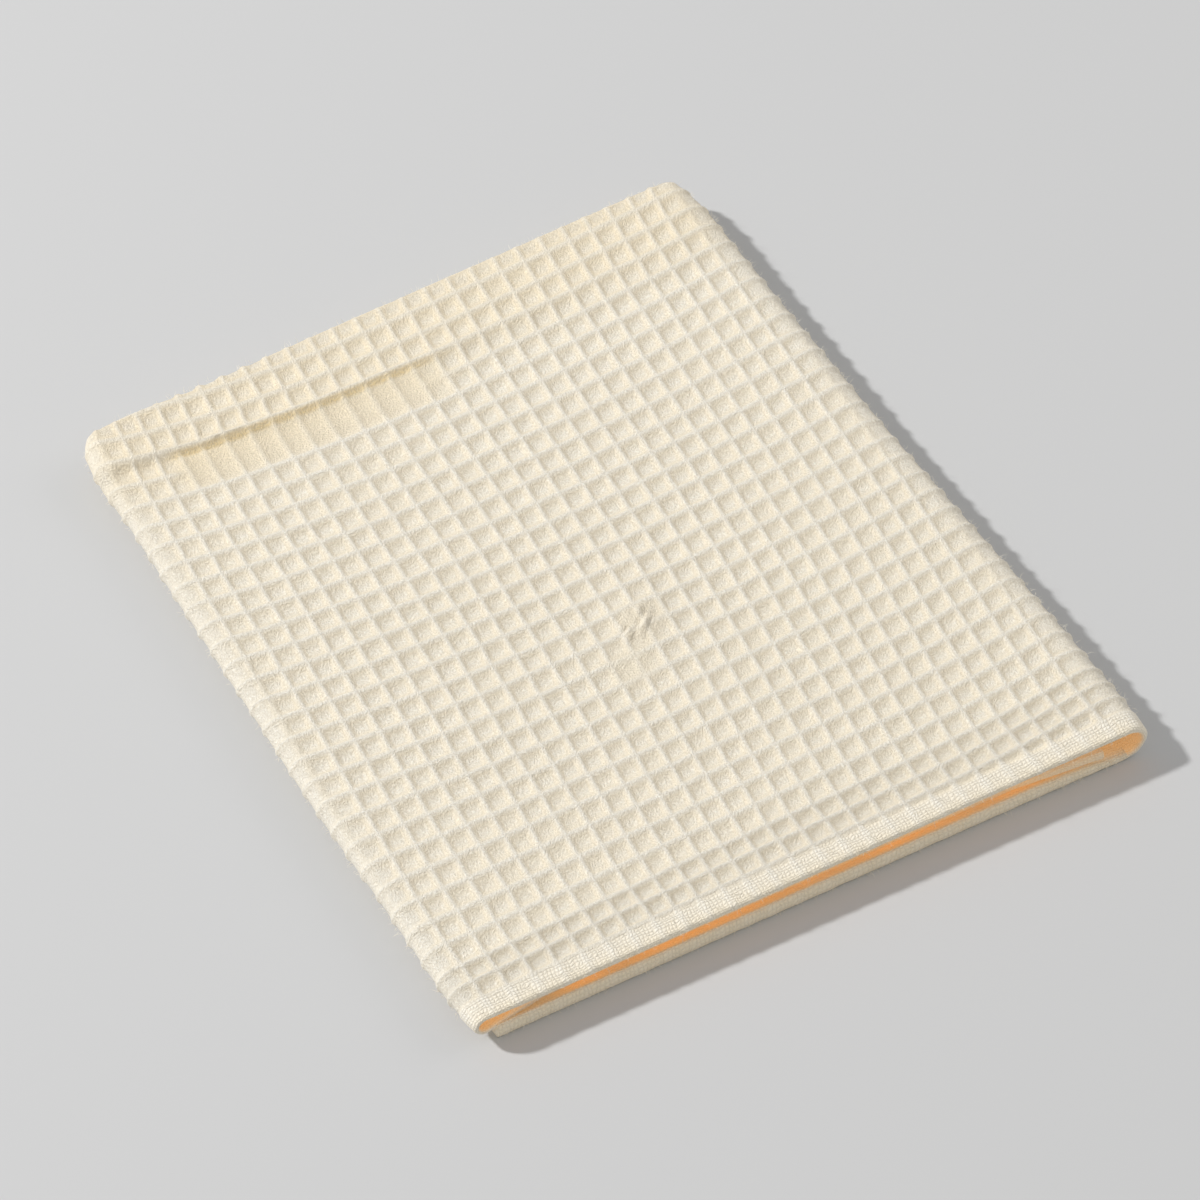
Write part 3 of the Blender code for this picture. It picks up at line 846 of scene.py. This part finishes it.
def cotton_yarn_group():
    """Height of the yarn from 0 to 1: mottled in the cells and dotted where Hem is 1."""
    tree = bpy.data.node_groups.new("cotton yarn", "ShaderNodeTree")
    tree.interface.new_socket("Vector", in_out="INPUT", socket_type="NodeSocketVector")
    tree.interface.new_socket("Hem", in_out="INPUT", socket_type="NodeSocketFloat")
    tree.interface.new_socket("Threads", in_out="INPUT", socket_type="NodeSocketFloat")
    tree.interface.new_socket("Height", in_out="OUTPUT", socket_type="NodeSocketFloat")
    enter = tree.nodes.new("NodeGroupInput")
    leave = tree.nodes.new("NodeGroupOutput")
    vector = enter.outputs["Vector"]
    along = stretched_noise(tree, vector, (*YARN_STRETCH, 1.0), detail=2.0)
    over = stretched_noise(tree, vector, (*YARN_STRETCH[::-1], 1.0), detail=2.0)
    raised = math_node(tree, "SUBTRACT", math_node(tree, "MAXIMUM", along, over), YARN_FROM)
    mottled = math_node(tree, "MULTIPLY", raised, YARN_CONTRAST, clamp=True)
    split = tree.nodes.new("ShaderNodeSeparateXYZ")
    tree.links.new(vector, split.inputs[0])
    uneven = stretched_noise(tree, vector, (SLIP_STRETCH, SLIP_STRETCH, 1.0), detail=1.0)
    slip = math_node(tree, "MULTIPLY", uneven, THREAD_SLIP)
    waves = []
    for k in (0, 1):
        slipped = math_node(tree, "ADD", split.outputs[k], slip)
        turns = math_node(tree, "MULTIPLY", slipped, enter.outputs["Threads"])
        wave = math_node(tree, "SINE", math_node(tree, "MULTIPLY", turns, math.pi))
        waves.append(math_node(tree, "ABSOLUTE", wave))
    dots = math_node(tree, "POWER", math_node(tree, "MULTIPLY", *waves), DOT_POWER)
    dots = math_node(tree, "ADD", math_node(tree, "MULTIPLY", dots, DOT_SHARE),
                     math_node(tree, "MULTIPLY", mottled, 1 - DOT_SHARE))
    blend = tree.nodes.new("ShaderNodeMix")
    tree.links.new(enter.outputs["Hem"], blend.inputs["Factor"])
    tree.links.new(mottled, blend.inputs["A"])
    tree.links.new(dots, blend.inputs["B"])
    tree.links.new(blend.outputs["Result"], leave.inputs["Height"])
    return tree


COTTON_YARN = cotton_yarn_group()

# %% [markdown]
# The material mixes its colours by the masks that were made with the mesh. The cloth glows a
# little, though it is no lamp: a faint painted glow over all of it lifts its shade, standing for
# light through the whole stack, and the hollow between the hems is painted warm orange and glows
# warm, standing for light through many thin layers, which is slow to work out.

# %% The cotton material
# The ridges have the cloth's own cream; the wall colour is painted warm shade
RIDGE_COLOUR, WALL_PAINTED_SHADE_COLOUR = (0.945, 0.91, 0.825, 1), (0.925, 0.825, 0.64, 1)
# Between the yarns: a darker colour, partly random mottling and partly painted shade in the low places
MOTTLE_AND_SHADE_BETWEEN_YARNS, HOLLOW_PAINTED_GLOW_COLOUR = (0.68, 0.60, 0.46, 1), (0.90, 0.66, 0.40, 1)
# Painted glow from the cloth, which is no lamp: a faint emission over all the cloth lifts its shade, and
# the hollow between the hems emits a warm orange glow; its colour above is painted orange too
CLOTH_PAINTED_GLOW, HOLLOW_PAINTED_GLOW = (0.060, 0.051, 0.036, 1), (0.27, 0.14, 0.045, 1)
THREADS_TO_A_CELL, YARN_BUMP = 6.5, 0.22 * MM
# How much of the cloth's colour shows between the threads and on top of them; the rest is the darker
# colour between the yarns, partly random mottling and partly painted shade in the low places
TONE_LOW, TONE_RANGE = 0.52, 0.62


def attribute(tree, label):
    """A mask of the mesh, by its name."""
    node = tree.nodes.new("ShaderNodeAttribute")
    node.attribute_name = label
    return node.outputs["Fac"]


def colour_mix(tree, factor, first, second):
    """A Mix node for colours, each a link or a colour. Returns its output."""
    node = tree.nodes.new("ShaderNodeMix")
    node.data_type, node.clamp_factor = "RGBA", False
    tree.links.new(factor, node.inputs["Factor"])
    for socket, value in ((node.inputs["A"], first), (node.inputs["B"], second)):
        if isinstance(value, tuple):
            socket.default_value = value
        else:
            tree.links.new(value, socket)
    return node.outputs["Result"]


def cotton_material():
    """Matt cream cotton with its yarn, painted warm shade on the cell walls and a painted glow in the
    hollows.
    """
    material = bpy.data.materials.new("cream cotton")
    material.use_nodes = True
    tree = material.node_tree
    surface = tree.nodes["Principled BSDF"]
    surface.inputs["Roughness"].default_value = 0.92
    surface.inputs["Specular IOR Level"].default_value = 0.2
    surface.inputs["Sheen Weight"].default_value = 0.15
    surface.inputs["Sheen Roughness"].default_value = 0.5
    cells = tree.nodes.new("ShaderNodeUVMap")
    cells.uv_map = "cells"
    yarn = tree.nodes.new("ShaderNodeGroup")
    yarn.node_tree = COTTON_YARN
    yarn.inputs["Threads"].default_value = THREADS_TO_A_CELL
    tree.links.new(cells.outputs[0], yarn.inputs["Vector"])
    tree.links.new(attribute(tree, "hem"), yarn.inputs["Hem"])
    bump = tree.nodes.new("ShaderNodeBump")
    bump.inputs["Distance"].default_value = YARN_BUMP
    bump.inputs["Strength"].default_value = 1.0
    tree.links.new(yarn.outputs["Height"], bump.inputs["Height"])
    tree.links.new(bump.outputs[0], surface.inputs["Normal"])
    # Painted warm shade: the cloth's colour is mixed towards a warmer, darker tan on the cell walls
    warm = colour_mix(tree, attribute(tree, "painted_warm_shade"), RIDGE_COLOUR, WALL_PAINTED_SHADE_COLOUR)
    # The low places of the yarn are painted darker: random mottling and painted shade between the
    # threads
    tone = math_node(tree, "MULTIPLY", yarn.outputs["Height"], TONE_RANGE)
    woven = colour_mix(tree, math_node(tree, "ADD", tone, TONE_LOW), MOTTLE_AND_SHADE_BETWEEN_YARNS, warm)
    painted_glow = attribute(tree, "painted_glow")
    # The hollow between the hems is painted a warm orange glow
    tree.links.new(colour_mix(tree, painted_glow, woven, HOLLOW_PAINTED_GLOW_COLOUR), surface.inputs["Base Color"])
    # Faint painted glow over all the cloth, warm and stronger in the hollow
    through = colour_mix(tree, painted_glow, CLOTH_PAINTED_GLOW, HOLLOW_PAINTED_GLOW)
    tree.links.new(through, surface.inputs["Emission Color"])
    surface.inputs["Emission Strength"].default_value = 1.0
    return material


cotton = cotton_material()
for piece in CLOTH + [fibres]:
    piece.data.materials.append(cotton)

# %% [markdown]
# Each piece rides on the one body, stands for the CAD node and takes its finish from the
# cotton slot. The flat size of each piece is the size that it was cut to before folding.

for piece, low, high in ((top, LEFT_SEAM, RIGHT_SEAM), (bottom_flap, RIGHT_SEAM, BOTTOM_LAST),
                         (middle_flap, MIDDLE_LAST, LEFT_SEAM)):
    print(f"{piece.name}: {1000 * (high - low) * COLUMN_PITCH:.0f} mm of the cloth's width")
    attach(piece, BODY)
    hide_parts("cloth")
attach(fibres, BODY)

# %% [markdown]
# The stage: a plain pale floor, one small far lamp like the sun, from behind on the left, a
# weak broad one from the right, and soft light from all round.

# %% Floor and light
FLOOR_SIZE = 4.0
bpy.ops.mesh.primitive_plane_add(size=FLOOR_SIZE, location=(0, 0, 0))
floor = bpy.context.object
floor.name = "floor"
floor_paint = bpy.data.materials.new("pale floor")
floor_paint.use_nodes = True
floor_surface = floor_paint.node_tree.nodes["Principled BSDF"]
floor_surface.inputs["Base Color"].default_value = (0.625, 0.632, 0.642, 1)
floor_surface.inputs["Roughness"].default_value = 0.9
floor_surface.inputs["Specular IOR Level"].default_value = 0.1
floor.data.materials.append(floor_paint)


def disk_lamp(name, location, size, energy, colour):
    """A round lamp that shines on the middle of the cloth."""
    data = bpy.data.lights.new(name, "AREA")
    data.shape, data.size, data.energy, data.color = "DISK", size, energy, colour
    lamp = bpy.data.objects.new(name, data)
    bpy.context.scene.collection.objects.link(lamp)
    lamp.location = location
    lamp.rotation_euler = (-location).to_track_quat("-Z", "Y").to_euler()


LIGHT_TRAVEL = Vector((0.95, -0.68, -1.0)).normalized()
LIGHT_DISTANCE = 2.7
disk_lamp("sun lamp", -LIGHT_TRAVEL * LIGHT_DISTANCE, size=0.20, energy=57, colour=(1.0, 0.99, 0.975))
disk_lamp("soft fill", Vector((0.90, -0.20, 0.75)), size=0.8, energy=1.8, colour=(1.0, 0.98, 0.95))

world = bpy.data.worlds.new("studio")
bpy.context.scene.world = world
world.use_nodes = True
sky = world.node_tree.nodes["Background"]
sky.inputs["Color"].default_value = (1.0, 0.99, 0.975, 1)
sky.inputs["Strength"].default_value = 0.43
bpy.context.scene.view_settings.view_transform = "Standard"

# %% [markdown]
# The camera looks at the cloth as the photograph does. Its direction, distance and focal length
# were worked out from where the four top corners of the cloth lie in the picture.

# %% Camera
PHOTO_PIXELS, FOCAL_PIXELS, SENSOR_WIDTH = 1200, 4292.0, 36.0
AZIMUTH, ELEVATION = math.radians(-29.70), math.radians(48.26)
DISTANCE = 0.9938
TARGET = Vector((0.0028, -0.0011, 0.0))
back = Vector((math.sin(AZIMUTH) * math.cos(ELEVATION), -math.cos(AZIMUTH) * math.cos(ELEVATION),
               math.sin(ELEVATION)))
camera_data = bpy.data.cameras.new("camera")
camera_data.sensor_width = SENSOR_WIDTH
camera_data.lens = FOCAL_PIXELS / PHOTO_PIXELS * SENSOR_WIDTH
camera = bpy.data.objects.new("camera", camera_data)
bpy.context.scene.collection.objects.link(camera)
camera.location = TARGET + back * DISTANCE
camera.rotation_euler = (-back).to_track_quat("-Z", "Y").to_euler()
bpy.context.scene.camera = camera
